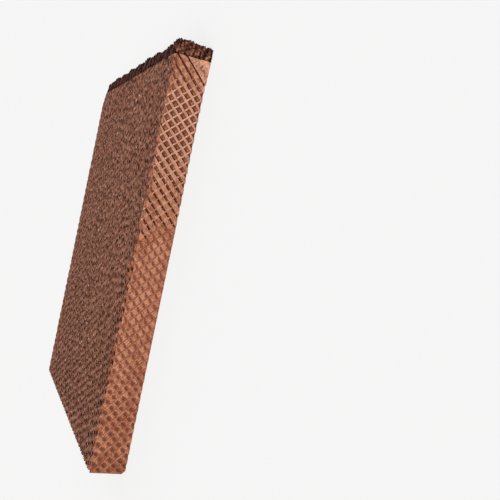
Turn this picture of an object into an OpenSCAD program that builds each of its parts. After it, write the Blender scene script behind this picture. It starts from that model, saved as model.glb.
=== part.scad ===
// Evaporative cooling pad: a glued stack of corrugated paper sheets whose flutes cross at plus and
// minus one angle. It lies flat: x is the stacking direction, y the length, z the air path.
// Lengths are in millimetres, angles in degrees.

/* [Pad] */
// air path through the pad, from one large face to the other
pad_depth = 70; // [30:5:150]
// length of the stacked sheets
pad_length = 800; // [200:10:1800]
// number of full sheets in the stack
sheet_count = 100; // [12:2:140]
// radius to which the far corner beside the strip is worn
worn_corner = 30; // [1:1:60]
// how far the near side's upper edge is worn down
edge_wear = 6; // [0:0.5:12]
// slanted cut off the near side's corner at the plain end
corner_cut = 7; // [1:0.5:20]

/* [Corrugation] */
// crest to crest distance, across the flutes
flute_pitch = 14; // [8:0.5:24]
// thickness of one corrugated sheet, crest to trough
flute_height = 7; // [4:0.5:12]
// angle between the flutes and the length of the pad
flute_angle = 45; // [20:1:70]
// flat on each crest and trough of a paper sheet, where the glue holds
crest_flat = 3; // [1:0.1:4]
// thickness of the treated paper
paper = 0.4; // [0.2:0.05:0.8]
// glue line between neighbouring sheets
glue_gap = 0.1; // [0.02:0.01:0.3]
// outer sheets on each side that are open paper on both faces
open_sheets = 2; // [1:1:4]
// web behind the ridges of an inner sheet
web = 0.8; // [0.4:0.1:2]

/* [Sawn outer sheet] */
// height that the saw left of the outermost sheet
sawn_height = 5.6; // [3:0.1:6]
// slats that are left of it, its troughs, counted from the plain corner to where it broke off
slat_count = 19; // [5:1:40]
// unslotted corner beside the end strip, across the flutes
plain_corner = 32.5; // [10:0.5:45]
// depth of the hollow that the saw left
hollow_depth = 3.6; // [0.5:0.1:4]
// length of that hollow
hollow_length = 210; // [40:5:300]
// middle of the hollow, from the end strip
hollow_from_end = 130; // [20:1:300]

/* [End strip] */
// height of the strip on the end of the stack
strip_height = 24.6; // [5:0.1:60]
// corrugated sheets side by side through the depth of the strip
strip_sheet_count = 7; // [2:1:14]
// crest to crest distance of the strip's upright flutes
strip_pitch = 14; // [8:0.5:24]
// how far the strip stops short of the far side
strip_inset = 30; // [0:1:60]
// radius to which the strip's far corner is worn
strip_corner = 18; // [1:1:24]

/* [Hidden] */
stack_width = sheet_count * flute_height;
total_width = stack_width + sawn_height;
total_length = pad_length + glue_gap + strip_height;
strip_length = total_width - strip_inset;
strip_sheet_height = pad_depth / strip_sheet_count;
// a plate turned by the flute angle still covers a rectangle of this length and the pad's depth
stack_reach = pad_length + 2 * pad_depth + 2 * flute_pitch;
strip_reach = strip_length + 2 * strip_pitch;
// each sheet's wave starts a little further along the pad than the one before it of the same kind
phase_step = 0.38 * flute_pitch;
trim_spare = 1;
// the slats begin and end on crests, which the saw took off
sawn_depth = pad_depth - edge_wear;
slats_reach = plain_corner + slat_count * flute_pitch;
break_at = pad_length - (slats_reach - sawn_depth * cos(flute_angle)) / sin(flute_angle);
slat_phase = plain_corner - pad_length / 2 * sin(flute_angle) - pad_depth / 2 * cos(flute_angle);
hollow_radius = (pow(hollow_length / 2, 2) + pow(hollow_depth, 2)) / (2 * hollow_depth);
inner_sheets = sheet_count - 2 * open_sheets;
block_size = ceil(inner_sheets / 3);
$fn = 96;

function reversed(list) = [for (i = [len(list) - 1 : -1 : 0]) list[i]];

function is_rising(i) = i % 2 == 0;

function lean_of(i) = is_rising(i) ? flute_angle : -flute_angle;

function phase_of(i) = (floor(i / 2) * phase_step * (is_rising(i) ? -1 : 1)) % flute_pitch;

// how much the worn corner takes off the end of a sheet that lies this far from the far side
function corner_loss(x) =
    x < worn_corner ? worn_corner - sqrt(pow(worn_corner, 2) - pow(worn_corner - x, 2)) : 0;

// how much the worn upper edge takes off a sheet, most off the sawn one that follows the stack
function edge_loss(i) = edge_wear * max(0, i - sheet_count + open_sheets + 1) / (open_sheets + 1);

// one face of a paper sheet, as a wave of flats and flanks through the crests
function wave_face(reach, pitch, height, side) =
    let (half = (height - glue_gap - paper) / 2)
    let (flank = atan2(2 * half, pitch / 2 - crest_flat))
    let (crest = crest_flat / 2 + side * paper / 2 * tan(flank / 2))
    let (trough = crest_flat / 2 - side * paper / 2 * tan(flank / 2))
    let (turns = ceil(reach / pitch / 2))
    [
        for (i = [-turns : turns - 1])
            let (s = i * pitch)
            for (q = [
                [s - crest, half + side * paper / 2],
                [s + crest, half + side * paper / 2],
                [s + pitch / 2 - trough, -half + side * paper / 2],
                [s + pitch / 2 + trough, -half + side * paper / 2]
            ]) q
    ];

function paper_outline(reach, pitch, height) =
    concat(wave_face(reach, pitch, height, 1), reversed(wave_face(reach, pitch, height, -1)));

// an inner sheet: ridges on one face, the flutes behind it closed by a flat web
function ridge_outline(reach) =
    let (half = (flute_height - glue_gap) / 2)
    let (turns = ceil(reach / flute_pitch / 2))
    concat(
        [[-(turns + 0.5) * flute_pitch, -half]],
        [
            for (i = [-turns : turns])
                for (q = [
                    [(i - 0.5) * flute_pitch, web - half],
                    [i * flute_pitch, half]
                ]) q
        ],
        [[(turns + 0.5) * flute_pitch, web - half], [(turns + 0.5) * flute_pitch, -half]]
    );

// a plate of straight flutes standing in the y-z plane, its ridges towards +x
module fluted_plate(lean, shift, reach, outline) {
    rotate([lean, 0, 0])
        rotate([-90, -90, 0])
            linear_extrude(height = reach, center = true)
                translate([shift, 0])
                    polygon(outline);
}

module stack_cut(i) {
    translate([i * flute_height - trim_spare, 0, 0])
        cube([
            flute_height + 2 * trim_spare,
            pad_length - corner_loss((i + 0.5) * flute_height),
            pad_depth - edge_loss(i)
        ]);
}

module paper_sheet(i) {
    intersection() {
        translate([(i + 0.5) * flute_height, pad_length / 2, pad_depth / 2])
            fluted_plate(lean_of(i), phase_of(i), stack_reach,
                paper_outline(stack_reach, flute_pitch, flute_height));
        stack_cut(i);
    }
}

module ridged_sheet(i) {
    intersection() {
        translate([(i + 0.5) * flute_height, pad_length / 2, pad_depth / 2])
            mirror([is_rising(i) ? 0 : 1, 0, 0])
                fluted_plate(lean_of(i), phase_of(i), stack_reach, ridge_outline(stack_reach));
        stack_cut(i);
    }
}

module on_floor() {
    translate([-(total_width + glue_gap / 2) / 2, -total_length / 2, 0])
        children();
}

module sheet_block(block, rising) {
    first = open_sheets + block * block_size;
    last = min(first + block_size, sheet_count - open_sheets) - 1;
    on_floor()
        for (i = [first : last])
            if (is_rising(i) == rising)
                ridged_sheet(i);
}

module rising_sheets_far() {
    color("tan") sheet_block(0, true);
}

module rising_sheets_middle() {
    color("tan") sheet_block(1, true);
}

module rising_sheets_near() {
    color("tan") sheet_block(2, true);
}

module falling_sheets_far() {
    color("burlywood") sheet_block(0, false);
}

module falling_sheets_middle() {
    color("burlywood") sheet_block(1, false);
}

module falling_sheets_near() {
    color("burlywood") sheet_block(2, false);
}

module far_side_sheets() {
    color("peru")
        on_floor()
            for (i = [0 : open_sheets - 1])
                paper_sheet(i);
}

module near_side_sheets() {
    color("peru")
        on_floor()
            for (i = [sheet_count - open_sheets : sheet_count - 1])
                difference() {
                    paper_sheet(i);
                    plain_end_cut();
                }
}

module plain_end_cut() {
    translate([stack_width - open_sheets * flute_height - trim_spare, corner_cut, 0])
        rotate([45, 0, 0])
            translate([0, -2 * corner_cut, -corner_cut])
                cube([open_sheets * flute_height + 2 * trim_spare, 2 * corner_cut, 3 * corner_cut]);
}

// what the saw left of one more sheet: its troughs, as slats glued to the sheet below, and a plain corner
module sawn_outer_sheet() {
    color("sandybrown")
        on_floor() {
            slats();
            plain_patch();
        }
}

module slats() {
    difference() {
        intersection() {
            translate([stack_width + flute_height / 2, pad_length / 2, pad_depth / 2])
                fluted_plate(flute_angle, slat_phase % flute_pitch, stack_reach,
                    paper_outline(stack_reach, flute_pitch, flute_height));
            translate([stack_width - trim_spare, 0, 0])
                cube([sawn_height + trim_spare, pad_length, sawn_depth]);
        }
        corner_side(plain_corner);
        broken_away();
        saw_hollow();
    }
}

module plain_patch() {
    intersection() {
        translate([stack_width + glue_gap / 2, 0, 0])
            cube([paper, pad_length, sawn_depth]);
        corner_side(plain_corner - crest_flat / 2);
    }
}

// everything within this distance, across the flutes, of the lower corner beside the end strip
module corner_side(distance) {
    translate([stack_width, pad_length - distance / sin(flute_angle), 0])
        rotate([flute_angle, 0, 0])
            translate([-trim_spare, -stack_reach, -stack_reach])
                cube([flute_height + 2 * trim_spare, 2 * stack_reach, stack_reach]);
}

// everything on the plain end's side of a line along the flutes of the sheet below
module broken_away() {
    translate([stack_width + flute_height / 2, break_at, sawn_depth])
        rotate([-flute_angle, 0, 0])
            translate([-flute_height, -stack_reach, -2 * stack_reach])
                cube([2 * flute_height, 2 * stack_reach, 2 * stack_reach]);
}

module saw_hollow() {
    translate([
        total_width - hollow_depth + hollow_radius,
        pad_length - hollow_from_end,
        -trim_spare
    ])
        cylinder(r = hollow_radius, h = pad_depth + 2 * trim_spare, $fn = 720);
}

// a sheet of the strip: flutes along y, crest to crest with its neighbours
module strip_sheet(i) {
    on_floor()
        difference() {
            intersection() {
                translate([strip_inset + strip_length / 2, total_length, (i + 0.5) * strip_sheet_height])
                    rotate([90, 0, 0])
                        linear_extrude(height = strip_height)
                            translate([i % 2 * strip_pitch / 2, 0])
                                polygon(paper_outline(strip_reach, strip_pitch, strip_sheet_height));
                translate([strip_inset, pad_length, 0])
                    cube([strip_length, 2 * strip_height, pad_depth]);
            }
            strip_corner_cut();
        }
}

module strip_corner_cut() {
    difference() {
        translate([strip_inset - trim_spare, total_length - strip_corner, -trim_spare])
            cube([strip_corner + trim_spare, strip_corner + trim_spare, pad_depth + 2 * trim_spare]);
        translate([strip_inset + strip_corner, total_length - strip_corner, -2 * trim_spare])
            cylinder(r = strip_corner, h = pad_depth + 4 * trim_spare);
    }
}

module strip_even_sheets() {
    color("saddlebrown")
        for (i = [0 : 2 : strip_sheet_count - 1])
            strip_sheet(i);
}

module strip_odd_sheets() {
    color("sienna")
        for (i = [1 : 2 : strip_sheet_count - 1])
            strip_sheet(i);
}

rising_sheets_far();
rising_sheets_middle();
rising_sheets_near();
falling_sheets_far();
falling_sheets_middle();
falling_sheets_near();
far_side_sheets();
near_side_sheets();
sawn_outer_sheet();
strip_even_sheets();
strip_odd_sheets();
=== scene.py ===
"""Evaporative cooling pad: crossed corrugated paper sheets, one side sawn, a dark strip on one end."""

import math

import bpy
import numpy as np
from mathutils import Matrix, Vector


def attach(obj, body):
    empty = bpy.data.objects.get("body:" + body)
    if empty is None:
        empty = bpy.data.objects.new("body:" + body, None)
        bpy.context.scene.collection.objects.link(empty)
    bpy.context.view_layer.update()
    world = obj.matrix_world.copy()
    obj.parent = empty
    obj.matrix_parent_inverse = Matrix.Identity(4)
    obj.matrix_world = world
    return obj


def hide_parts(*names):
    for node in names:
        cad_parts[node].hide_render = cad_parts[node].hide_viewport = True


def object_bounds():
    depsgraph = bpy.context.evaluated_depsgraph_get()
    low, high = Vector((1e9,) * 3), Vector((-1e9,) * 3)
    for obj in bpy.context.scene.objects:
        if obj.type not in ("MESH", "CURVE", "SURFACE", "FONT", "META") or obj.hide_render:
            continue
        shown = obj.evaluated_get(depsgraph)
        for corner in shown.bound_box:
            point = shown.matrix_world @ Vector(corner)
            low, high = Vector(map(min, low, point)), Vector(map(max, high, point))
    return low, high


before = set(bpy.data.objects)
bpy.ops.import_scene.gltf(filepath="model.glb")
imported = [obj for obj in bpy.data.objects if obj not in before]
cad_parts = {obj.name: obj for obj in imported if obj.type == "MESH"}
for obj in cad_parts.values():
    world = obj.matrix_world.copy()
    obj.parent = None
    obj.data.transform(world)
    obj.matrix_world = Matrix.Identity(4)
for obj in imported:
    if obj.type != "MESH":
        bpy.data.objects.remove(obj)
cad_low, cad_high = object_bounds()

# In the values below a noise is a pair, its strength and the size of its bumps.
# A span is a pair too, where a change begins and where it is complete.
MM = 0.001

# Seeds of the random draws, and the waves that make up a soft noise.
INNER_SEED = 100
INNER_SEED_STEP = 10
SPECK_SEED = 500
SIDE_SEED = 7
STRIP_SEED = 23
NOISE_WAVES = 7
NOISE_RATES = (0.6, 1.7)
NOISE_PHASES = 7

# The pad's own sizes, as in the part's source.
DEPTH = 70 * MM
LENGTH = 800 * MM
SHEET_COUNT = 100
PITCH = 14 * MM
FLUTE_HEIGHT = 7 * MM
ANGLE = math.radians(45)
OPEN_SHEETS = 2
BLOCK = 32
WORN_CORNER = 30 * MM
STACK_WIDTH = SHEET_COUNT * FLUTE_HEIGHT
SAWN_STRIPS = 22
PLAIN_STRIPS = 3
STRIP_START = LENGTH + 0.1 * MM
STRIP_HEIGHT = 24.6 * MM
STRIP_SHEETS = 7
STRIP_PITCH = 14 * MM
STRIP_INSET = 30 * MM
STRIP_CORNER = 18 * MM

# The paper's thickness and the form of its flutes.
PAPER = 0.5 * MM
STRIP_PAPER = 0.9 * MM
STEEPEST_FLANK = 2.0
PAD_FLATNESS = 1.25
STRIP_FLATNESS = 1.2

# How finely the sheets are drawn.
LINE_TRIM = 0.3 * MM
EDGE_ROW = 6 * MM
EDGE_ROW_SHARE = 0.3
LINES_PER_FLUTE = 8
INNER_ROWS = 4
OUTER_ROWS = 32
FINE_LINES_PER_FLUTE = 14
FINE_STEP = 1.5 * MM
SLAT_LINES = 13
BREAK_STEPS = 200
PATCH_LINES = 30
STRIP_LINES_PER_FLUTE = 10
STRIP_ROWS = 6
END_COLUMNS = 48
END_ROWS = 20

# Phase steps from one sheet to the next of its kind, and how far a sheet strays from them.
RISING_STEP = -0.38 * PITCH
FALLING_STEP = 0.38 * PITCH
STRAY = 0.14 * PITCH

# The sheets of the stack: uneven flutes that wander more away from the plain end, and bent, frayed edges.
SWING_MEAN = 1.02
SWING_UNEVEN = (0.03, 60 * MM)
WANDER_LEAST = 0.6 * MM
WANDER_MORE = 3.2 * MM
WANDER_SPAN = (100 * MM, 500 * MM)
WANDER_SIZE = 70 * MM
SHEET_ROOM = 0.55 * FLUTE_HEIGHT
EDGE_BEND = (0.9 * MM, 7 * MM)
EDGE_SHRINK = (0.012, 9 * MM)
SHEET_TONES = 0.6
SHEET_BLOTCHES = (0.5, 22 * MM)
SHEET_GRAIN = 0.75
SHEET_GRAIN_SIZE = 4 * MM
FRAY_MEAN = 0.4
FRAY_UNEVEN = (0.7, 5 * MM)
SPECK_SIZE = 4 * MM
SPECK_SPAN = (2.35, 2.6)

# Sheets that show on the sides: the outermost far one is even, its crests lighter and its valleys darker,
# partly rubbed crests and partly painted highlight and painted shade; the near inner one dark.
FAR_GRAIN = 0.3
FAR_RUBBED_AND_SHADED = 0.9
FAR_BEND = 0.25
NEAR_INNER_FRAY = 0.3
NEAR_INNER_SHADE = -1.6

# The worn upper edge of the near side, by sheets from the outermost, and the corner cut off below.
EDGE_WEAR = {0: 4.8 * MM, 1: 3.6 * MM, 2: 2.2 * MM, 3: 1.0 * MM}
WEAR_AT_PLAIN_END = 0.4
WEAR_SPAN = (20 * MM, 220 * MM)
WEAR_RAGGED = (0.35, 22 * MM)
WEAR_MOST = 1.6
CORNER_CUT = 7 * MM
CORNER_CUT_SHEETS = 4
WORN_RIM = 0.45

# Places along the near side: the saw's hollow, the unbroken slots beside the strip, and the break.
HOLLOW_STARTS = (500 * MM, 660 * MM)
HOLLOW_ENDS = (715 * MM, 775 * MM)
UNBROKEN_SPAN = (745 * MM, 785 * MM)
BREAK_LOW = 482 * MM
BREAK_HIGH = 438 * MM
BREAK_TURN = (30 * MM, 66 * MM)
BREAK_RAGGED = (2.5 * MM, 7 * MM)

# How far the flutes of the near side stray from even spacing, at some places along the pad.
DRIFT_PLACES = np.array([0, 62, 180, 320, 440, 555, 675, 762, 800]) * MM
SLAT_DRIFT = np.array([-8.0, -6.5, -3.5, -0.5, 2.0, 6.2, 4.4, 0.0, 0.0]) * MM
FOLD_DRIFT = np.array([0.0, 0.0, 0.0, 0.6, 1.2, 0.5, -2.1, -3.8, -5.0]) * MM
SLATS_SHIFT = -9.5 * MM
NEAR_SHIFT = 0.02 * PITCH
FOLD_STRAY = (0.4 * MM, 35 * MM)
SLOT_STRAY = (0.4 * MM, 25 * MM)

# Oval marks of the near sheet: centre and half sizes, each across the slots and across the folds.
OVAL_RIM = (0.45, 1.25)
DENT = ((0.4 * MM, 0.2 * MM), (4.3 * MM, 5.4 * MM))
SCAR_LOBE = ((0.7 * MM, -1.5 * MM), (3.4 * MM, 4.2 * MM))
SCAR_ARM = ((-0.6 * MM, 2.6 * MM), (2.3 * MM, 4.2 * MM))
# Painted light on the lit wall of each pit.
PIT_LIGHT = ((-2.4 * MM, 4.6 * MM), (2.6 * MM, 2.6 * MM))
# Painted highlight dots.
DOT = ((1.8 * MM, 0.4 * MM), (1.7 * MM, 1.5 * MM))

# The near sheet's form: dents near the plain end, torn scars further on, sawn crests under the slats.
BARE_RIM = (-1 * MM, 6 * MM)
TORN_SPAN = (150 * MM, 260 * MM)
VALLEY_PLACES = (60 * MM, 200 * MM)
VALLEY_OFFSETS = (-4.3 * MM, -5.5 * MM)
VALLEY_HALF = 1.4 * MM
SCAR_DROP = 1.4 * MM
TORN_VALLEY_DROP = 1.2 * MM
DENT_DROP = 3.0 * MM
DENTED_VALLEY_DROP = 0.6 * MM
DROP_UNEVEN = (0.07, 18 * MM)
DROP_RANGE = (0.8, 1.2)
DROP_SPAN = (1 * MM, 8 * MM)
CREST_HALF = 0.15 * PITCH
PIT_FLOOR = 0.3
UNBROKEN_DROP = 0.5
NEAR_UNEVEN = (0.15 * MM, 12 * MM)

# The near sheet's painted shade: in the dents, scars and valleys of the bare part, a painted shadow line
# along the plain end, in the pits between the slats and on the lower halves of the sawn beads.
SCAR_SHADE = 0.9
TORN_VALLEY_SHADE = 0.7
DENT_SHADE = 0.9
DENTED_VALLEY_SHADE = 0.5
PLAIN_END_SHADOW = 0.8
PLAIN_END_SHADOW_LENGTH = 1.6 * MM
PIT_SHADE = 0.85
PIT_SHADE_SPAN = (0.2, 0.6)
PIT_LIGHT_SHARE = 0.75
UPPER_PIT_FADE = 0.5
UPPER_PIT_SPAN = (60 * MM, 66 * MM)
BEAD_SHADE = 0.6

# The near sheet's lighter places: sawn beads, pale in the hollow as freshly sawn paper and with a painted
# highlight on their upper halves, broken fold lines, and painted highlight dots.
BEAD_HALF = 0.095 * PITCH
UPPER_HALF_SPAN = (-1.5 * MM, 2 * MM)
HOLLOW_BEAD_LIGHT = 0.5
UPPER_BEAD_LIGHT = 0.75
FOLD_LINE_OFF = 1.7 * MM
FOLD_LINE_HALF = 0.8 * MM
FOLD_LINE_SIZE = 16 * MM
FOLD_LINE_SPAN = (-0.4, 1.2)
FOLD_LINE_LIGHT = 0.35
DOT_SIZE = 10 * MM
DOT_SPAN = (-0.6, 0.4)

# The near sheet's tone: darker towards the plain end as painted shade, and on each bare band a painted
# highlight at the top falling to painted shade down the band.
NEAR_MOTTLE = ((0.3, 45 * MM), (0.35, 9 * MM), (0.85, 2.8 * MM))
BAND_SHADE_PLACES = (100 * MM, 200 * MM, 300 * MM)
BAND_SHADES = (0.6, 0.06, -0.02)
PLAIN_END_SHADE = 1.1
PLAIN_END_SHADE_LENGTH = 50 * MM
BAND_TOP_TONE = 0.15
BAND_FALL = 0.7
BAND_FALL_SPAN = (0.45, 1.0)

# The slats' form.
SLAT_SHARE = 0.66
SLAT_LOST_NEAR_STRIP = 0.02
SLAT_LOST_IN_HOLLOW = 0.34
SLAT_RAGGED = (0.03, 10 * MM)
SLAT_LEAST = 0.3 * MM
LIP_RISE = 0.8 * FLUTE_HEIGHT
LIP_POWER = 4
SLAT_SWELL = 0.36 * MM
SLAT_CRUMPLE = (0.3 * MM, 13 * MM)
BREAK_PRESS = 0.5 * MM
BREAK_PRESS_LENGTH = 8 * MM

# The slats' colours: a painted highlight over the crests below, lighter towards the upper lip and with
# painted shade on the lower lip, lips pale as cut paper with a painted highlight on the upper one, pale in
# the hollow as freshly sawn paper.
SLAT_TONE = -0.7
SLAT_MOTTLE = ((0.3, 40 * MM), (0.35, 8 * MM), (0.9, 2.8 * MM))
CREST_LIGHT = 1.5
CREST_LIGHT_AT = 0.6 * MM
CREST_LIGHT_HALF = 2.6 * MM
LIP_TILT = 0.5
LIP_SHADE = 0.7
LIP_SHADE_SPAN = (-1.0, -0.3)
LIP_SHARPNESS = 6
UPPER_LIP_LIGHT = 0.6
LOWER_LIP_LIGHT = 0.2
HOLLOW_LIGHT = 0.26

# The plain corner beside the strip, and its torn flap, with a painted shadow beside the flap and painted
# shade along creases.
PATCH_GAP = 1.1 * MM
PATCH_RISE = 0.9 * MM
PATCH_CRUMPLE = (0.8 * MM, 9 * MM)
PATCH_TONE = -0.1
PATCH_MOTTLE = ((0.5, 14 * MM), (1.2, 3 * MM))
PATCH_LIGHT = 0.18
FLAP_FROM = 774 * MM
FLAP_LEAN = 0.75
FLAP_RAGGED = (2 * MM, 6 * MM)
FLAP_STEP = 1.5 * MM
FLAP_TOP = (19 * MM, 21 * MM)
FLAP_RISE = 1.4 * MM
FLAP_CRUMPLE = 0.5
FLAP_TONE = 0.35
FLAP_LIGHT = 0.15
FLAP_SHADOW = 0.8
FLAP_SHADOW_OFF = 1 * MM
FLAP_SHADOW_HALF = 1.8 * MM
CREASE_SIZE = 16 * MM
CREASE_HALF = 0.14
CREASE_SHADE = 0.3

# The strip's sheets: their waves, and the ups and downs of their tops.
STRIP_END_GAP = 2.5 * MM
STRIP_WANDER = (2.0 * MM, 50 * MM)
STRIP_WANDER_HEIGHT = 30 * MM
STRIP_SWING = 0.9
STRIP_SWING_UNEVEN = (0.08, 30 * MM)
STRIP_SWING_HEIGHT = 20 * MM
STRIP_CRUMPLE = (0.5 * MM, 8 * MM)
STRIP_CRUMPLE_HEIGHT = 25 * MM
STRIP_TOP_PRESS = 0.65
STRIP_CROWN = (1.5 * MM, 40 * MM)
STRIP_DIP = 2.5 * MM
STRIP_DIP_AT = 110 * MM
STRIP_DIP_HALF = 35 * MM
STRIP_RISE = 2 * MM
STRIP_RISE_HALF = 45 * MM
STRIP_ROUGH = (0.7 * MM, 6 * MM)
STRIP_LOWERED = 1.2 * MM
STRIP_CROWN_MOST = 3.0 * MM
STRIP_TONE = -0.1
STRIP_MOTTLE = ((1.2, 15 * MM), (0.6, 4 * MM))
STRIP_FOOT_SHADE = 1.1
STRIP_FOOT_POWER = 4

# The strip's crushed near end. Heights are shares of the strip's, widths shares of the pad's depth.
END_HEIGHT = 0.96
END_RISE = 0.08
END_CROWN = 0.09
END_CROWN_SKEW = 1.6
END_RAGGED = (0.9 * MM, 4 * MM)
END_INSET = 1.3 * MM
END_TIP = 1.25 * MM
END_TIP_FROM = 0.75
TALL_LUMPS = (0.8, 4 * MM)
TALL_LUMP_STRETCH = 0.35
ROUND_LUMPS = (0.4, 6 * MM)
LUMP_DEPTH = 1.2 * MM
LUMP_FADE = 6
SPECKLE_SIZE = 3 * MM
TORN_ROW_AT = 0.22
TORN_ROW_HALF = 0.13
TORN_ROW_END = 0.58
TORN_ROW_LUMPS = 0.3
TORN_ROW_TAN = 0.9
TAN_SHARE = 0.4
TAN_LEAST = 0.32
TAN_MOST = 0.95
END_TONE = 0.25
END_LUMP_TONE = 0.9
END_SPECKLE_TONE = 0.6

# The paper material's textures, per metre, and its fibre relief.
BLOTCHES = {"Scale": 45, "Detail": 6, "Roughness": 0.74}
FIBRES = {"Scale": 700, "Detail": 3}
TINGES = {"Scale": 260, "Detail": 2}
FIBRE_SHARE = 0.45
DARK_UP_TO = 0.4
LIGHT_FROM = 1.0
PAPER_ROUGHNESS = 0.82
FIBRE_RELIEF = 0.4
FIBRE_HEIGHT = 0.5 * MM

# The floor, and the part of it that the pad covers.
FLOOR_REACH = 150.0
COVERED_INSET_X = 40 * MM
COVERED_INSET_Y = 6 * MM
FLOOR_COLOUR = (0.8, 0.8, 0.79, 1)
FLOOR_ROUGHNESS = 0.95
FLOOR_GLOW_COLOUR = (1.0, 1.0, 1.0, 1)
FLOOR_GLOW = 0.78

# The light: an even sky, a soft key light from the sawn side and a weak fill from the far side.
SKY_COLOUR = (0.95, 0.97, 1.0, 1)
SKY_STRENGTH = 0.4
BACKGROUND_COLOUR = (0.92, 0.92, 0.92, 1)
SUN_DISTANCE = 3
KEY_FROM = Vector((0.80, -0.42, 0.43))
KEY_ENERGY = 2.3
KEY_SPREAD = math.radians(28)
KEY_COLOUR = (1.0, 0.97, 0.93)
FILL_FROM = Vector((-0.80, 0.55, 0.22))
FILL_ENERGY = 1.2
FILL_SPREAD = math.radians(45)
FILL_COLOUR = (1.0, 0.98, 0.96)

# The photograph's camera, fitted to the pad's visible corners.
CAMERA_PLACE = Vector((1.537, 0.0922, 0.365))
CAMERA_FORWARD = Vector((-0.91469, -0.02726, -0.40325))
CAMERA_UP = Vector((-0.10782, 0.97802, 0.17845))
CAMERA_LENS = 46.9
CAMERA_SENSOR = 36
CAMERA_NEAREST = 0.01
CAMERA_FURTHEST = 500

SIN = math.sin(ANGLE)
COS = math.cos(ANGLE)
ORIGIN = np.array([cad_low.x, cad_low.y, cad_low.z])
FIRST_CREST = -LENGTH / 2 * SIN - DEPTH / 2 * COS + SLATS_SHIFT
FIRST_SLOT = FIRST_CREST + PLAIN_STRIPS * PITCH
SIDE_HALF = np.array([PAPER / 2, 0, 0])
STRIP_HALF = np.array([0, 0, -STRIP_PAPER / 2])


def soft_noise(rng, a, b, size):
    """Smooth noise of about unit strength over the plane (a, b), its bumps about `size` across."""
    total = np.zeros(np.broadcast(a, b).shape)
    for _ in range(NOISE_WAVES):
        heading = rng.uniform(0, 2 * math.pi)
        rate = rng.uniform(*NOISE_RATES) * math.pi / size
        phase = rng.uniform(0, NOISE_PHASES)
        total += np.sin((a * math.cos(heading) + b * math.sin(heading)) * rate + phase)
    return total / math.sqrt(NOISE_WAVES / 2)


def uneven(rng, a, b, *noises):
    """Sum of soft noises over the plane (a, b), each given as its strength and size."""
    return sum(strength * soft_noise(rng, a, b, size) for strength, size in noises)


def smooth_step(value, low, high):
    """Nought up to low, one from high on, smooth between them."""
    t = np.clip((value - low) / (high - low), 0, 1)
    return t * t * (3 - 2 * t)


def ridge(off, half, power=2):
    """One on a line, falling to nought beside it, the more abruptly the higher the power."""
    return np.exp(-(off / half) ** power)


def off_nearest(value, period):
    """Signed distance to the nearest whole multiple of period."""
    return (value + period / 2) % period - period / 2


class Shell:
    """Vertices, faces and vertex values of one piece, gathered grid by grid."""

    def __init__(self):
        self.points = []
        self.faces = []
        self.values = {"tone": [], "edge": [], "stain": []}
        self.count = 0

    def add_grid(self, points, flip=False, tone=0.0, edge=0.0, stain=0.0):
        """A grid of four-sided faces over points in rows and columns."""
        rows, columns = points.shape[:2]
        index = self.count + np.arange(rows * columns).reshape(rows, columns)
        corners = [index[:-1, :-1], index[1:, :-1], index[1:, 1:], index[:-1, 1:]]
        if flip:
            corners.reverse()
        self.points.append(points.reshape(-1, 3))
        self.faces.append(np.stack(corners, axis=-1).reshape(-1, 4))
        for name, value in (("tone", tone), ("edge", edge), ("stain", stain)):
            self.values[name].append(np.broadcast_to(value, (rows, columns)).ravel())
        self.count += rows * columns

    def add_sheet(self, points, half, rim=1.0, **values):
        """A sheet with two faces, one `half` (vectors) either side of points, and cut rims all round."""
        front = points + half
        back = points - half
        self.add_grid(front, flip=True, **values)
        self.add_grid(back, **values)
        tone = np.broadcast_to(values.get("tone", 0.0), points.shape[:2])
        for column, flip in ((0, False), (-1, True)):
            wall = np.stack([front[:, column], back[:, column]], axis=1)
            self.add_grid(wall, flip=flip, tone=tone[:, [column]], edge=rim)
        for row, flip in ((0, True), (-1, False)):
            wall = np.stack([front[row], back[row]], axis=1)
            self.add_grid(wall, flip=flip, tone=tone[row][:, None], edge=rim)

    def build(self, name, material, slot, *nodes):
        """The piece itself, which stands for the given nodes."""
        mesh = bpy.data.meshes.new(name)
        points = np.concatenate(self.points) + ORIGIN
        mesh.from_pydata(points.tolist(), [], np.concatenate(self.faces).tolist())
        for key, blocks in self.values.items():
            layer = mesh.attributes.new(key, "FLOAT", "POINT")
            layer.data.foreach_set("value", np.concatenate(blocks).astype(np.float32))
        mesh.shade_smooth()
        mesh.materials.append(material)
        piece = bpy.data.objects.new(name, mesh)
        bpy.context.scene.collection.objects.link(piece)
        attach(piece, "root")
        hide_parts(*nodes)


def lean_of(index):
    """Even sheets have flutes that rise along the pad, odd ones falling flutes."""
    return 1 if index % 2 == 0 else -1


def across_of(lean, y, z):
    """Distance across the flutes of a sheet for a point of its plane."""
    return -lean * SIN * (y - LENGTH / 2) + COS * (z - DEPTH / 2)


def plane_point(lean, across, along):
    """The y and z of a point given across and along the flutes."""
    y = LENGTH / 2 - lean * SIN * across + COS * along
    z = DEPTH / 2 + COS * across + lean * SIN * along
    return y, z


def flute_ends(lean, across, y_high, z_high):
    """Ends of the straight lines along a sheet's flutes, where they cross the sheet's outline."""
    start_y = (-LENGTH / 2 + lean * SIN * across) / COS
    end_y = (y_high - LENGTH / 2 + lean * SIN * across) / COS
    one = lean * (-DEPTH / 2 - COS * across) / SIN
    two = lean * (z_high - DEPTH / 2 - COS * across) / SIN
    start = np.maximum(start_y, np.minimum(one, two))
    return start, np.maximum(np.minimum(end_y, np.maximum(one, two)), start)


def lines_across(lean, shift, y_high, per_flute):
    """Places across the flutes at which a sheet's lines lie, in step with its crests."""
    corners = [across_of(lean, y, z) for y in (0, y_high) for z in (0, DEPTH)]
    low = min(corners) + LINE_TRIM
    high = max(corners) - LINE_TRIM
    step = PITCH / per_flute
    first = math.ceil((low - shift) / step)
    last = math.floor((high - shift) / step)
    return np.concatenate([[low], shift + step * np.arange(first, last + 1), [high]])


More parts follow.
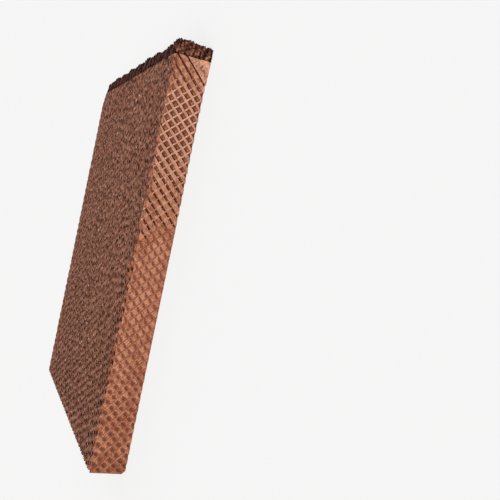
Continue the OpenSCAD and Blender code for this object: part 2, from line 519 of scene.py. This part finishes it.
def edge_height(rng, index, y):
    """Height of a sheet's upper edge, lower and ragged on the worn near side."""
    share = WEAR_AT_PLAIN_END + (1 - WEAR_AT_PLAIN_END) * smooth_step(y, *WEAR_SPAN)
    wear = EDGE_WEAR.get(SHEET_COUNT - index, 0.0) * share
    return DEPTH - wear * np.clip(1 + uneven(rng, y, 0 * y, WEAR_RAGGED), 0, WEAR_MOST)


def worn_ends(rng, index, across, y_high=LENGTH):
    """Ends of a sheet's flute lines below its own upper edge."""
    lean = lean_of(index)
    upper_y = LENGTH / 2 + lean * (DEPTH / 2 - across / COS)
    return flute_ends(lean, across, y_high, edge_height(rng, index, upper_y))


def cut_corner(index, y, z):
    """The near sheets' lowest corner, cut off at a slant."""
    if index < SHEET_COUNT - CORNER_CUT_SHEETS:
        return y, z
    lost = np.maximum(CORNER_CUT - (y + z), 0) / 2
    return y + lost, z + lost


def corner_loss(x):
    """How much of a sheet at x is lost to the worn far corner."""
    return WORN_CORNER * (1 - x / WORN_CORNER) ** 2 if x < WORN_CORNER else 0.0


def half_paper(x, across):
    """Half the paper's thickness measured along x on a sloping flute."""
    slope = np.gradient(x, axis=0) / np.gradient(across)[:, None]
    half = np.zeros(x.shape + (3,))
    half[..., 0] = PAPER / 2 * np.sqrt(1 + np.minimum(np.abs(slope), STEEPEST_FLANK) ** 2)
    return half


def round_wave(across, pitch, flatness):
    """A flute's height, -1 to 1, with crest and trough a little flattened."""
    return np.tanh(flatness * np.cos(2 * math.pi * across / pitch)) / math.tanh(flatness)


def sheet_phase(rng, index):
    """Where across the flutes a sheet's first crest lies."""
    step = RISING_STEP if lean_of(index) > 0 else FALLING_STEP
    return (index // 2 * step + rng.uniform(-STRAY, STRAY)) % PITCH


def rows_along(start, end, rows):
    """Points along flute lines: one at each end, the others evenly between, a little off the ends."""
    row = np.minimum(EDGE_ROW, EDGE_ROW_SHARE * (end - start))
    inner = np.linspace(start + row, end - row, rows - 2, axis=1)
    return np.concatenate([start[:, None], inner, end[:, None]], axis=1)


def fine_along(start, end):
    """Points along flute lines, close together and the same number on each."""
    count = int(round(float(np.max(end - start)) / FINE_STEP)) + 1
    return start[:, None] + (end - start)[:, None] * np.linspace(0, 1, count)


def add_inner_sheet(shell, rng, index, rows=INNER_ROWS, grain=SHEET_GRAIN,
                    fray=1.0, shade=0.0, rubbed_and_shaded=0.0, bend=1.0):
    """One sheet of the stack, its cut edges a little bent, uneven and frayed."""
    lean = lean_of(index)
    middle_x = (index + 0.5) * FLUTE_HEIGHT
    y_high = LENGTH - corner_loss(middle_x)
    shift = sheet_phase(rng, index)
    across = lines_across(lean, shift, y_high, LINES_PER_FLUTE)
    start, end = worn_ends(rng, index, across, y_high)
    y, z = plane_point(lean, across[:, None], rows_along(start, end, rows))
    y, z = cut_corner(index, y, z)
    at_edge = np.zeros(rows)
    at_edge[[0, -1]] = 1.0

    swing = (FLUTE_HEIGHT - PAPER) / 2 * (SWING_MEAN + uneven(rng, y, z, SWING_UNEVEN))
    stray = WANDER_LEAST + WANDER_MORE * smooth_step(y, *WANDER_SPAN)
    wander = stray * soft_noise(rng, y, z, WANDER_SIZE)
    wave = round_wave(across[:, None] - shift + bend * wander, PITCH, PAD_FLATNESS)
    x = middle_x + swing * wave + uneven(rng, y, z, EDGE_BEND) * at_edge
    x = np.clip(x, middle_x - SHEET_ROOM, middle_x + SHEET_ROOM)
    x = np.maximum(x, PAPER)
    shrink = np.abs(uneven(rng, y, z, EDGE_SHRINK)) * at_edge
    z = np.clip(z + (DEPTH / 2 - z) * shrink, 0, DEPTH)
    points = np.stack([x, y, z], axis=-1)

    tone = rng.normal(0, SHEET_TONES) + uneven(rng, y, z, SHEET_BLOTCHES, (grain, SHEET_GRAIN_SIZE))
    # On the far outermost sheet the crests are lighter and the valleys darker: partly rubbed crests, partly
    # painted highlight and painted shade across the flutes.
    tone = tone + shade - rubbed_and_shaded * wave
    frayed = fray * at_edge * np.clip(FRAY_MEAN + uneven(rng, y, z, FRAY_UNEVEN), 0, 1)
    # Pale specks along the cut edges.
    speck_noise = soft_noise(np.random.default_rng(SPECK_SEED + index), y, z, SPECK_SIZE)
    speck = fray * at_edge * smooth_step(speck_noise, *SPECK_SPAN)
    shell.add_sheet(points, half_paper(x, across), rim=fray, tone=tone, edge=frayed, stain=speck)


def make_inner_pieces(material):
    """The stack between its outermost sheets, in three blocks of rising and falling sheets."""
    for block, place in enumerate(("far", "middle", "near")):
        for kind, odd in (("rising", 0), ("falling", 1)):
            shell = Shell()
            rng = np.random.default_rng(INNER_SEED + INNER_SEED_STEP * block + odd)
            start = OPEN_SHEETS + block * BLOCK
            for index in range(start + odd, min(start + BLOCK, SHEET_COUNT - OPEN_SHEETS), 2):
                add_inner_sheet(shell, rng, index)
            shell.build(f"{kind}_paper_{place}", material, "pad_paper", f"{kind}_sheets_{place}")


def in_hollow(y):
    """One where the saw went deepest, nought outside its hollow."""
    return smooth_step(y, *HOLLOW_STARTS) * (1 - smooth_step(y, *HOLLOW_ENDS))


def near_strip(y):
    """Nought along most of the pad, one where the slots run on unbroken beside the strip."""
    return smooth_step(y, *UNBROKEN_SPAN)


def break_place(z):
    """How far along the pad the sawn sheet reaches at height z."""
    return BREAK_LOW - (BREAK_LOW - BREAK_HIGH) * smooth_step(z, *BREAK_TURN)


def slat_drift(y):
    """How far the slats and slots stray along the pad."""
    return np.interp(y, DRIFT_PLACES, SLAT_DRIFT)


def fold_drift(y):
    """How far the folds of the sheet below the slats stray along the pad."""
    return np.interp(y, DRIFT_PLACES, FOLD_DRIFT)


class NearSheet:
    """The outermost whole sheet: narrow crests under the slats, dented and torn bands where it lies bare."""

    def __init__(self, rng):
        index = SHEET_COUNT - 1
        lean = lean_of(index)
        self.rng = rng
        self.across = lines_across(lean, NEAR_SHIFT, LENGTH, FINE_LINES_PER_FLUTE)
        start, end = worn_ends(rng, index, self.across)
        y, z = plane_point(lean, self.across[:, None], fine_along(start, end))
        y, z = cut_corner(index, y, z)
        fold = across_of(lean, y - fold_drift(y), z) - NEAR_SHIFT
        slot = across_of(-lean, y - slat_drift(y), z) - FIRST_CREST
        self.off_crest = off_nearest(fold + uneven(rng, y, z, FOLD_STRAY), PITCH)
        self.off_slot = off_nearest(slot + uneven(rng, y, z, SLOT_STRAY), PITCH)
        self.y = y
        self.z = z
        self.bare = 1 - smooth_step(y - break_place(z), *BARE_RIM)
        self.torn = smooth_step(y, *TORN_SPAN)
        self.hollow = in_hollow(y)
        self.unbroken = near_strip(y)
        self.find_marks()

    def find_marks(self):
        """Dents, scars and valleys of the bare part, crests and beads of the covered part."""
        self.dent = self.oval(DENT)
        self.scar = np.maximum(self.oval(SCAR_LOBE), self.oval(SCAR_ARM))
        self.valley_at = np.interp(self.y, VALLEY_PLACES, VALLEY_OFFSETS)
        self.valley = ridge(off_nearest(self.off_crest - self.valley_at, PITCH), VALLEY_HALF)
        crest = ridge(self.off_crest, CREST_HALF, power=4)
        self.rise = (PIT_FLOOR + (1 - PIT_FLOOR) * crest) * (1 - UNBROKEN_DROP * self.unbroken)
        self.bead = ridge(self.off_crest, BEAD_HALF, power=4) * (1 - self.unbroken) * (1 - self.bare)
        self.upper_half = smooth_step(self.off_slot, *UPPER_HALF_SPAN)

    def oval(self, mark):
        """One in the middle of an oval mark that repeats with both flutes, nought outside it."""
        centre, half = mark
        a = off_nearest(self.off_slot - centre[0], PITCH) / half[0]
        b = off_nearest(self.off_crest - centre[1], PITCH) / half[1]
        return 1 - smooth_step(np.hypot(a, b), *OVAL_RIM)

    def height(self):
        """How far out the paper lies."""
        strength = np.clip(1 + uneven(self.rng, self.y, self.z, DROP_UNEVEN), *DROP_RANGE)
        torn_drop = SCAR_DROP * self.scar + TORN_VALLEY_DROP * self.valley
        dented_drop = DENT_DROP * self.dent + DENTED_VALLEY_DROP * self.valley
        drop = torn_drop * self.torn + dented_drop * (1 - self.torn)
        drop = drop * strength * smooth_step(self.y, *DROP_SPAN)
        low = STACK_WIDTH - FLUTE_HEIGHT + PAPER
        top = FLUTE_HEIGHT - 2 * PAPER
        x = low + top * (self.rise * (1 - self.bare) + self.bare) - self.bare * drop
        return x + uneven(self.rng, self.y, self.z, NEAR_UNEVEN)

    def fresh_and_highlight(self):
        """Pale on the sawn beads, as freshly sawn paper in the hollow and as a painted highlight on their
        upper halves, lighter on broken fold lines, and painted highlight dots in the pits.
        """
        bead_light = np.maximum(HOLLOW_BEAD_LIGHT * self.hollow, UPPER_BEAD_LIGHT * self.upper_half)
        off_line = off_nearest(self.off_crest - self.valley_at + FOLD_LINE_OFF, PITCH)
        broken = smooth_step(soft_noise(self.rng, self.y, self.z, FOLD_LINE_SIZE), *FOLD_LINE_SPAN)
        line_light = FOLD_LINE_LIGHT * ridge(off_line, FOLD_LINE_HALF) * broken
        light = self.bead * bead_light + self.bare * (1 - self.torn) * (1 - self.dent) * line_light
        dotted = smooth_step(soft_noise(self.rng, self.y, self.z, DOT_SIZE), *DOT_SPAN)
        return np.maximum(light, self.oval(DOT) * dotted * (1 - self.bare) * (1 - self.unbroken))

    def tone(self):
        """Blotches and grain, with painted shade towards the plain end, and down each bare band painted
        shade below a painted highlight at its top.
        """
        tone = uneven(self.rng, self.y, self.z, *NEAR_MOTTLE)
        tone = tone - self.bare * np.interp(self.y, BAND_SHADE_PLACES, BAND_SHADES)
        tone = tone - PLAIN_END_SHADE * (1 - smooth_step(self.y, 0, PLAIN_END_SHADE_LENGTH))
        down_band = (self.off_crest - self.valley_at) % PITCH / PITCH
        return tone + self.bare * (BAND_TOP_TONE - BAND_FALL * smooth_step(down_band, *BAND_FALL_SPAN))

    def stain(self):
        """Painted shade in the dents, scars and valleys of the bare part, a painted shadow line along the
        plain end, and painted shade in the pits between the slats and on the beads' lower halves.
        """
        torn_stain = np.maximum(SCAR_SHADE * self.scar, TORN_VALLEY_SHADE * self.valley)
        dented_stain = np.maximum(DENT_SHADE * self.dent, DENTED_VALLEY_SHADE * self.valley)
        bare_stain = self.torn * torn_stain + (1 - self.torn) * dented_stain
        # A painted shadow line along the plain end.
        at_end = 1 - smooth_step(self.y, 0, PLAIN_END_SHADOW_LENGTH)
        bare_stain = bare_stain + PLAIN_END_SHADOW * at_end
        # Painted shade in the pits between the slats, less on their painted lit wall and near the upper
        # edge, and all along the unbroken slots beside the strip.
        pit_stain = PIT_SHADE * smooth_step(1 - self.rise, *PIT_SHADE_SPAN)
        pit_stain = pit_stain * (1 - PIT_LIGHT_SHARE * self.oval(PIT_LIGHT))
        pit_stain = pit_stain * (1 - UPPER_PIT_FADE * smooth_step(self.z, *UPPER_PIT_SPAN))
        covered_stain = np.maximum(pit_stain, PIT_SHADE * self.unbroken)
        # Painted shade on the lower halves of the sawn beads.
        bead_stain = BEAD_SHADE * self.bead * (1 - self.upper_half) * (1 - self.hollow)
        stain = self.bare * bare_stain + (1 - self.bare) * covered_stain + bead_stain
        return np.clip(stain, 0, 1)


def add_near_outer_sheet(shell, rng):
    """The outermost whole sheet, its form drawn first and then its colours."""
    sheet = NearSheet(rng)
    x = sheet.height()
    points = np.stack([x, sheet.y, sheet.z], axis=-1)
    half = half_paper(x, sheet.across)
    fresh_and_highlight = sheet.fresh_and_highlight()
    shell.add_sheet(points, half, rim=WORN_RIM, tone=sheet.tone(), edge=fresh_and_highlight, stain=sheet.stain())


def slat_share(y):
    """How much of the pitch a slat still covers: far less in the hollow, a little less near the strip."""
    return SLAT_SHARE - SLAT_LOST_NEAR_STRIP * near_strip(y) - SLAT_LOST_IN_HOLLOW * in_hollow(y)


def from_break(rng, lean, lines, start, end):
    """Where along their lines the slats begin, ragged, at the place where the sheet broke."""
    walk = start[:, None] + (end - start)[:, None] * np.linspace(0, 1, BREAK_STEPS)
    y, z = plane_point(lean, lines[:, None], walk)
    ragged = uneven(rng, lines, 0 * lines, BREAK_RAGGED)
    kept = y + slat_drift(y) > break_place(z) + ragged[:, None]
    first = np.where(kept.any(axis=1), kept.argmax(axis=1), BREAK_STEPS - 1)
    return walk[np.arange(len(lines)), first]


def slat_colours(rng, tau, y, z):
    """Tone and pale tint of a slat, with tau from -1 on its lower lip to 1 on its upper lip: a painted
    highlight over the crests below, lighter towards the upper lip, painted shade on the lower lip, lips pale
    as cut paper with a painted highlight on the upper one, pale in the hollow as freshly sawn paper.
    """
    below = across_of(lean_of(SHEET_COUNT - 1), y - fold_drift(y), z) - NEAR_SHIFT
    over_crest = ridge(off_nearest(below, PITCH) - CREST_LIGHT_AT, CREST_LIGHT_HALF)
    tone = SLAT_TONE + uneven(rng, y, z, *SLAT_MOTTLE) + CREST_LIGHT * over_crest
    shaded_lip = 1 - smooth_step(tau, *LIP_SHADE_SPAN)
    tone = tone + (LIP_TILT * tau - LIP_SHADE * shaded_lip) * (1 - in_hollow(y))
    lip = np.where(tau > 0, UPPER_LIP_LIGHT, LOWER_LIP_LIGHT) * tau ** LIP_SHARPNESS
    return tone, np.maximum(lip, HOLLOW_LIGHT * in_hollow(y))


def add_slat(shell, rng, middle):
    """One trough that the saw left of the sawn sheet: a flat slat with turned-up lips."""
    lean = lean_of(SHEET_COUNT)
    tau = np.linspace(-1, 1, SLAT_LINES)
    lines = middle + tau * PITCH / 2
    start, end = worn_ends(rng, SHEET_COUNT, lines)
    start = from_break(rng, lean, lines, start, end)
    end = np.maximum(end, start + SLAT_LEAST)
    along = fine_along(start, end)
    y, z = plane_point(lean, lines[:, None], along)
    share = slat_share(y) + uneven(rng, y, z, SLAT_RAGGED)
    across = middle + tau[:, None] * share * PITCH / 2
    y, z = plane_point(lean, across, along)
    y = np.clip(y + slat_drift(y), 0, LENGTH)
    z = np.clip(z, 0, DEPTH)
    x = STACK_WIDTH + PAPER + LIP_RISE * np.abs(2 * (across - middle) / PITCH) ** LIP_POWER
    x = x + SLAT_SWELL - np.abs(uneven(rng, y, z, SLAT_CRUMPLE))
    x = x - BREAK_PRESS * (1 - smooth_step(along - start[:, None], 0, BREAK_PRESS_LENGTH))
    tone, fresh_and_highlight = slat_colours(rng, tau[:, None], y, z)
    points = np.stack([x, y, z], axis=-1)
    shell.add_sheet(points, SIDE_HALF, rim=WORN_RIM, tone=tone, edge=fresh_and_highlight)


def add_plain_patch(shell, rng):
    """The corner of the sawn sheet beside the strip that has no slots: crumpled, with a torn flap."""
    lean = lean_of(SHEET_COUNT)
    low = across_of(lean, LENGTH, 0) + LINE_TRIM
    across = np.linspace(low, FIRST_SLOT - PATCH_GAP, PATCH_LINES)
    start, end = flute_ends(lean, across, LENGTH, DEPTH)
    y, z = plane_point(lean, across[:, None], fine_along(start, end))
    torn = y - FLAP_FROM - FLAP_LEAN * z + uneven(rng, y, z, FLAP_RAGGED)
    below_top = 1 - smooth_step(z, *FLAP_TOP)
    flap = smooth_step(torn, 0, FLAP_STEP) * below_top
    crumple = np.abs(uneven(rng, y, z, PATCH_CRUMPLE)) * (1 + FLAP_CRUMPLE * flap)
    x = STACK_WIDTH + PAPER + PATCH_RISE + FLAP_RISE * flap + crumple
    points = np.stack([x, y, z], axis=-1)

    tone = PATCH_TONE + FLAP_TONE * flap + uneven(rng, y, z, *PATCH_MOTTLE)
    # A painted shadow beside the flap and painted shade along crease lines.
    shadow = ridge(torn + FLAP_SHADOW_OFF, FLAP_SHADOW_HALF) * below_top
    crease = ridge(soft_noise(rng, y, z, CREASE_SIZE), CREASE_HALF)
    stain = FLAP_SHADOW * shadow + CREASE_SHADE * crease
    shell.add_sheet(points, SIDE_HALF, tone=tone, stain=stain, edge=PATCH_LIGHT + FLAP_LIGHT * flap)


def make_side_pieces(inner_material, side_material):
    """The two outermost sheets of each side, and what the saw left of one more on the near side."""
    rng = np.random.default_rng(SIDE_SEED)
    far = Shell()
    add_inner_sheet(far, rng, 0, rows=OUTER_ROWS, grain=FAR_GRAIN, rubbed_and_shaded=FAR_RUBBED_AND_SHADED, bend=FAR_BEND)
    add_inner_sheet(far, rng, 1)
    far.build("far_side_paper", inner_material, "side_paper", "far_side_sheets")
    near = Shell()
    add_inner_sheet(near, rng, SHEET_COUNT - 2, fray=NEAR_INNER_FRAY, shade=NEAR_INNER_SHADE)
    add_near_outer_sheet(near, rng)
    near.build("near_side_paper", side_material, "side_paper", "near_side_sheets")
    sawn = Shell()
    for strip in range(PLAIN_STRIPS, SAWN_STRIPS):
        add_slat(sawn, rng, FIRST_CREST + (strip + 0.5) * PITCH)
    add_plain_patch(sawn, rng)
    sawn.build("sawn_paper", side_material, "side_paper", "sawn_outer_sheet")


def add_crushed_end(shell, rng, x_high):
    """The strip's near end, its flutes crushed to lumps by the saw."""
    columns = np.linspace(0, 1, END_COLUMNS)
    rows = np.linspace(0, 1, END_ROWS)
    z = np.broadcast_to(columns[:, None] * DEPTH, (END_COLUMNS, END_ROWS))
    crown = END_CROWN * np.sin(math.pi * columns ** END_CROWN_SKEW)
    height = STRIP_HEIGHT * (END_HEIGHT + END_RISE * columns + crown)
    height = height + uneven(rng, columns * DEPTH, 0 * columns, END_RAGGED)
    y = STRIP_START + height[:, None] * rows
    lump = uneven(rng, TALL_LUMP_STRETCH * y, z, TALL_LUMPS) + uneven(rng, y, z, ROUND_LUMPS)
    below_top = np.minimum(1, LUMP_FADE * (1 - rows))
    tip = (np.clip(rows - END_TIP_FROM, 0, 1) / (1 - END_TIP_FROM)) ** 2
    x = x_high - END_INSET + LUMP_DEPTH * np.clip(lump, -1, 1) * below_top - END_TIP * tip
    points = np.stack([x, y, z], axis=-1)

    speckle = soft_noise(rng, y, z, SPECKLE_SIZE)
    torn_row = ridge(rows - TORN_ROW_AT, TORN_ROW_HALF) * (columns[:, None] < TORN_ROW_END)
    torn_row = torn_row * (lump > TORN_ROW_LUMPS)
    tan = TAN_SHARE * (lump + speckle) - TAN_LEAST + TORN_ROW_TAN * torn_row
    tone = END_TONE + END_LUMP_TONE * lump + END_SPECKLE_TONE * speckle
    shell.add_sheet(points, SIDE_HALF, tone=tone, stain=np.clip(tan, 0, TAN_MOST))


def strip_crown(rng, x_line, x_high):
    """How far the strip's top stands above or below its mean height along its length."""
    from_end = x_high - x_line
    crown = uneven(rng, x_line, 0 * x_line, STRIP_CROWN)
    crown = crown - STRIP_DIP * ridge(from_end - STRIP_DIP_AT, STRIP_DIP_HALF)
    return crown + STRIP_RISE * ridge(from_end, STRIP_RISE_HALF)


def add_strip_sheet(shell, rng, sheet, x_line, crown):
    """One sheet of the strip, the topmost pressed nearly flat towards the upper face."""
    rows = np.linspace(0, 1, STRIP_ROWS)
    x = np.broadcast_to(x_line[:, None], (len(x_line), STRIP_ROWS))
    room = DEPTH / STRIP_SHEETS
    wander = uneven(rng, x, rows * STRIP_WANDER_HEIGHT, STRIP_WANDER) + rng.uniform(0, STRIP_PITCH)
    spread = STRIP_SWING + uneven(rng, x, rows * STRIP_SWING_HEIGHT, STRIP_SWING_UNEVEN)
    wave = round_wave(x + wander, STRIP_PITCH, STRIP_FLATNESS)
    pressed = STRIP_TOP_PRESS if sheet == STRIP_SHEETS - 1 else 0.0
    z = (sheet + 0.5) * room + (room - PAPER) / 2 * spread * (wave + pressed * (1 - wave))
    z = z + uneven(rng, x, rows * STRIP_CRUMPLE_HEIGHT, STRIP_CRUMPLE)
    z = np.clip(z, PAPER, DEPTH - PAPER)
    rough = uneven(rng, x_line, 0 * x_line, STRIP_ROUGH)
    top = STRIP_HEIGHT - STRIP_LOWERED + np.minimum(crown + rough, STRIP_CROWN_MOST)
    corner = np.clip(1 - (x_line - STRIP_INSET) / STRIP_CORNER, 0, 1)
    top = top - STRIP_CORNER * (1 - np.sqrt(1 - corner ** 2))
    y = STRIP_START + top[:, None] * rows
    tone = STRIP_TONE + uneven(rng, x, y, *STRIP_MOTTLE)
    tone = tone - STRIP_FOOT_SHADE * (1 - rows) ** STRIP_FOOT_POWER
    shell.add_sheet(np.stack([x, y, z], axis=-1), STRIP_HALF, tone=tone)


def make_end_strip(material):
    """The dark strip on one end: upright flutes in sheets parallel to the large faces."""
    rng = np.random.default_rng(STRIP_SEED)
    x_high = cad_high.x - cad_low.x
    x_end = x_high - STRIP_END_GAP
    line_count = int((x_end - STRIP_INSET) * STRIP_LINES_PER_FLUTE / STRIP_PITCH)
    x_line = np.linspace(STRIP_INSET, x_end, line_count)
    crown = strip_crown(rng, x_line, x_high)
    for kind, odd in (("even", 0), ("odd", 1)):
        shell = Shell()
        for sheet in range(odd, STRIP_SHEETS, 2):
            add_strip_sheet(shell, rng, sheet, x_line, crown)
        if odd:
            add_crushed_end(shell, rng, x_high)
        shell.build(f"strip_paper_{kind}", material, "strip_paper", f"strip_{kind}_sheets")


def add_texture(tree, place, settings):
    """The value of a noise texture with the given settings."""
    texture = tree.nodes.new("ShaderNodeTexNoise")
    for socket, value in settings.items():
        texture.inputs[socket].default_value = value
    tree.links.new(place, texture.inputs["Vector"])
    return texture.outputs["Fac"]


def add_attribute(tree, name):
    """One of the values that the vertices carry."""
    attribute = tree.nodes.new("ShaderNodeAttribute")
    attribute.attribute_name = name
    return attribute.outputs["Fac"]


def add_scaled(tree, value, factor, base=None, offset=0.0):
    """A value times a factor, plus another value or else a plain offset."""
    scaled = tree.nodes.new("ShaderNodeMath")
    scaled.operation = "MULTIPLY_ADD"
    tree.links.new(value, scaled.inputs[0])
    scaled.inputs[1].default_value = factor
    scaled.inputs[2].default_value = offset
    if base is not None:
        tree.links.new(base, scaled.inputs[2])
    return scaled.outputs[0]


def add_tint(tree, colour, attribute, tint):
    """A colour mixed with a tint by one of the values that the vertices carry."""
    mix = tree.nodes.new("ShaderNodeMix")
    mix.data_type = "RGBA"
    mix.clamp_factor = True
    tree.links.new(add_attribute(tree, attribute), mix.inputs["Factor"])
    tree.links.new(colour, mix.inputs["A"])
    mix.inputs["B"].default_value = (*tint, 1)
    return mix.outputs["Result"]


def make_paper(name, dark, light, edge, stain, spread, gloss, richness, vivid):
    """Treated paper: blotchy colour, fibres, sheet-to-sheet tone, stained and cut places, with painted shade
    and painted highlights laid on through the same tints.
    """
    material = bpy.data.materials.new(name)
    material.use_nodes = True
    tree = material.node_tree
    nodes = tree.nodes
    join = tree.links.new
    shader = nodes["Principled BSDF"]
    shader.inputs["Roughness"].default_value = PAPER_ROUGHNESS
    shader.inputs["Specular IOR Level"].default_value = gloss
    place = nodes.new("ShaderNodeTexCoord").outputs["Object"]
    fibre = add_texture(tree, place, FIBRES)

    shade = add_scaled(tree, add_attribute(tree, "tone"), spread, base=add_texture(tree, place, BLOTCHES))
    ramp = nodes.new("ShaderNodeValToRGB")
    ramp.color_ramp.elements[0].position = DARK_UP_TO
    ramp.color_ramp.elements[0].color = (*dark, 1)
    ramp.color_ramp.elements[1].position = LIGHT_FROM
    ramp.color_ramp.elements[1].color = (*light, 1)
    join(add_scaled(tree, fibre, FIBRE_SHARE, base=shade), ramp.inputs["Fac"])

    tinge = nodes.new("ShaderNodeHueSaturation")
    amount = add_scaled(tree, add_texture(tree, place, TINGES), vivid, offset=richness - vivid / 2)
    join(amount, tinge.inputs["Saturation"])
    join(ramp.outputs["Color"], tinge.inputs["Color"])

    # The pale tint: cut and freshly sawn paper, and painted highlights on the sawn side.
    colour = add_tint(tree, tinge.outputs["Color"], "edge", edge)
    # The second tint: specks and tan lumps, and painted shade and painted shadow on the sawn side.
    colour = add_tint(tree, colour, "stain", stain)
    join(colour, shader.inputs["Base Color"])

    bump = nodes.new("ShaderNodeBump")
    bump.inputs["Strength"].default_value = FIBRE_RELIEF
    bump.inputs["Distance"].default_value = FIBRE_HEIGHT
    join(fibre, bump.inputs["Height"])
    join(bump.outputs["Normal"], shader.inputs["Normal"])
    return material


def seen_directly(tree):
    """One for rays from the camera or by way of gloss or glass, nought for light that falls on things."""
    path = tree.nodes.new("ShaderNodeLightPath")
    seen = path.outputs["Is Camera Ray"]
    for kind in ("Is Glossy Ray", "Is Transmission Ray"):
        either = tree.nodes.new("ShaderNodeMath")
        either.operation = "MAXIMUM"
        tree.links.new(seen, either.inputs[0])
        tree.links.new(path.outputs[kind], either.inputs[1])
        seen = either.outputs[0]
    return seen


def plain_floor(name):
    """A dull white floor material, and its shader."""
    material = bpy.data.materials.new(name)
    material.use_nodes = True
    shader = material.node_tree.nodes["Principled BSDF"]
    shader.inputs["Base Color"].default_value = FLOOR_COLOUR
    shader.inputs["Roughness"].default_value = FLOOR_ROUGHNESS
    shader.inputs["Specular IOR Level"].default_value = 0.0
    return material, shader


def pale_floor(name):
    """The floor material that stays pale to the camera and still keeps the pad's shadow."""
    material, shader = plain_floor(name)
    tree = material.node_tree
    join = tree.links.new
    glow = tree.nodes.new("ShaderNodeEmission")
    glow.inputs["Color"].default_value = FLOOR_GLOW_COLOUR
    mix = tree.nodes.new("ShaderNodeMixShader")
    join(add_scaled(tree, seen_directly(tree), FLOOR_GLOW), mix.inputs["Fac"])
    join(shader.outputs["BSDF"], mix.inputs[1])
    join(glow.outputs["Emission"], mix.inputs[2])
    join(mix.outputs["Shader"], tree.nodes["Material Output"].inputs["Surface"])
    return material


def make_floor():
    """A plain pale floor in nine panels, the one under the pad dull, so that no glow comes up the flutes."""
    x_lines = (-FLOOR_REACH, cad_low.x + COVERED_INSET_X, cad_high.x - COVERED_INSET_X, FLOOR_REACH)
    y_lines = (-FLOOR_REACH, cad_low.y + COVERED_INSET_Y, cad_high.y - COVERED_INSET_Y, FLOOR_REACH)
    corners = [(x, y, 0) for y in y_lines for x in x_lines]
    line = len(x_lines)
    firsts = [line * row + column for row in range(line - 1) for column in range(line - 1)]
    panels = [(at, at + 1, at + line + 1, at + line) for at in firsts]
    mesh = bpy.data.meshes.new("floor")
    mesh.from_pydata(corners, [], panels)
    mesh.materials.append(pale_floor("floor"))
    mesh.materials.append(plain_floor("covered_floor")[0])
    mesh.polygons[len(panels) // 2].material_index = 1
    floor = bpy.data.objects.new("floor", mesh)
    bpy.context.scene.collection.objects.link(floor)


def add_sun(name, comes_from, energy, spread, colour):
    """A soft sun lamp that shines from the given direction."""
    lamp = bpy.data.lights.new(name, "SUN")
    lamp.energy = energy
    lamp.angle = spread
    lamp.color = colour
    sun = bpy.data.objects.new(name, lamp)
    sun.location = comes_from * SUN_DISTANCE
    sun.rotation_euler = comes_from.to_track_quat("Z", "Y").to_euler()
    bpy.context.scene.collection.objects.link(sun)


def make_light():
    """Soft light from the sawn side, a weak fill from the far side, and an even sky that looks pale."""
    world = bpy.data.worlds.new("studio")
    bpy.context.scene.world = world
    world.use_nodes = True
    tree = world.node_tree
    light = tree.nodes["Background"]
    light.inputs["Color"].default_value = SKY_COLOUR
    light.inputs["Strength"].default_value = SKY_STRENGTH
    pale = tree.nodes.new("ShaderNodeBackground")
    pale.inputs["Color"].default_value = BACKGROUND_COLOUR
    mix = tree.nodes.new("ShaderNodeMixShader")
    tree.links.new(seen_directly(tree), mix.inputs["Fac"])
    tree.links.new(light.outputs["Background"], mix.inputs[1])
    tree.links.new(pale.outputs["Background"], mix.inputs[2])
    tree.links.new(mix.outputs["Shader"], tree.nodes["World Output"].inputs["Surface"])
    add_sun("key", KEY_FROM, KEY_ENERGY, KEY_SPREAD, KEY_COLOUR)
    add_sun("fill", FILL_FROM, FILL_ENERGY, FILL_SPREAD, FILL_COLOUR)


def make_camera():
    """The photograph's view: low from the sawn side, turned so that the pad's length runs up the picture."""
    forward = CAMERA_FORWARD.normalized()
    right = forward.cross(CAMERA_UP).normalized()
    up = right.cross(forward)
    data = bpy.data.cameras.new("view")
    data.lens = CAMERA_LENS
    data.sensor_width = CAMERA_SENSOR
    data.clip_start = CAMERA_NEAREST
    data.clip_end = CAMERA_FURTHEST
    camera = bpy.data.objects.new("view", data)
    turn = Matrix((right, up, -forward)).transposed()
    camera.matrix_world = Matrix.Translation(CAMERA_PLACE) @ turn.to_4x4()
    bpy.context.scene.collection.objects.link(camera)
    bpy.context.scene.camera = camera


pad_paper = make_paper(
    "pad_paper",
    dark=(0.028, 0.0078, 0.005), light=(0.242, 0.0945, 0.0575),
    edge=(0.42, 0.204, 0.143), stain=(0.75, 0.56, 0.46),
    spread=0.2, gloss=0.15, richness=1.05, vivid=1.2)
# On the sawn side the second tint is mostly painted shade and painted shadow, and the pale tint partly
# painted highlight.
side_paper = make_paper(
    "side_paper",
    dark=(0.25, 0.079, 0.039), light=(0.625, 0.289, 0.173),
    edge=(0.87, 0.57, 0.42), stain=(0.17, 0.045, 0.03),
    spread=0.16, gloss=0.18, richness=1.02, vivid=0.45)
strip_paper = make_paper(
    "strip_paper",
    dark=(0.014, 0.005, 0.004), light=(0.098, 0.034, 0.023),
    edge=(0.07, 0.025, 0.018), stain=(0.42, 0.18, 0.1),
    spread=0.55, gloss=0.06, richness=1.02, vivid=0.8)
make_inner_pieces(pad_paper)
make_side_pieces(pad_paper, side_paper)
make_end_strip(strip_paper)
make_floor()
make_light()
make_camera()
bpy.context.scene.view_settings.view_transform = "Standard"
